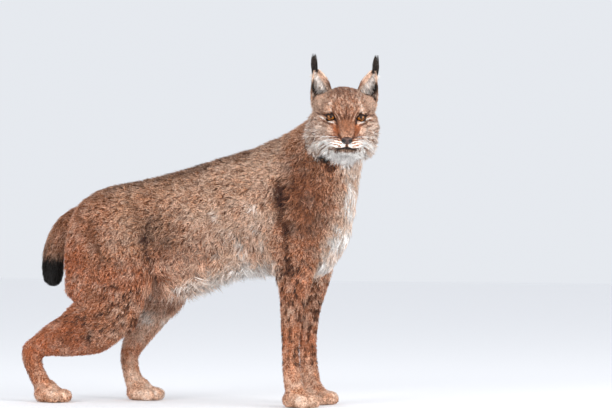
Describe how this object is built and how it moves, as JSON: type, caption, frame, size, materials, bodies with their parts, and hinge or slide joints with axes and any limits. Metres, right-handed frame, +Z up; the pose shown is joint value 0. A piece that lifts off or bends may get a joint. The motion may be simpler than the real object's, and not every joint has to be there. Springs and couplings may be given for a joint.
{
  "type": "standing eurasian lynx",
  "caption": "Life-size Eurasian lynx standing in winter coat, head turned to its right, with tufted ears, cheek ruff and a short hanging tail.",
  "frame": {"origin": "on the floor under the centre of the whole animal's box", "axes": "+X from tail to chest, +Y to the animal's left, +Z up"},
  "size_m": [0.9316, 0.2852, 0.8768],
  "materials": {
    "coat": "fur, ticked rufous",
    "spotted_coat": "short fur, rufous with dark spots",
    "black_fur": "fur, black",
    "nose_skin": "moist satin",
    "iris": "wet gloss"
  },
  "bodies": {
    "root": {"torso": "coat", "neck": "coat", "head": "coat", "nose": "nose_skin", "ear_left": "coat", "ear_right": "coat", "ear_tuft_left": "black_fur", "ear_tuft_right": "black_fur", "eye_left": "iris", "eye_right": "iris", "tail": "coat", "tail_tip": "black_fur", "foreleg_left": "spotted_coat", "forepaw_left": "spotted_coat", "thigh_left": "coat", "shank_left": "spotted_coat", "metatarsus_left": "spotted_coat", "hindpaw_left": "spotted_coat", "foreleg_right": "spotted_coat", "forepaw_right": "spotted_coat", "thigh_right": "coat", "shank_right": "spotted_coat", "metatarsus_right": "spotted_coat", "hindpaw_right": "spotted_coat"}
  },
  "joints": []
}
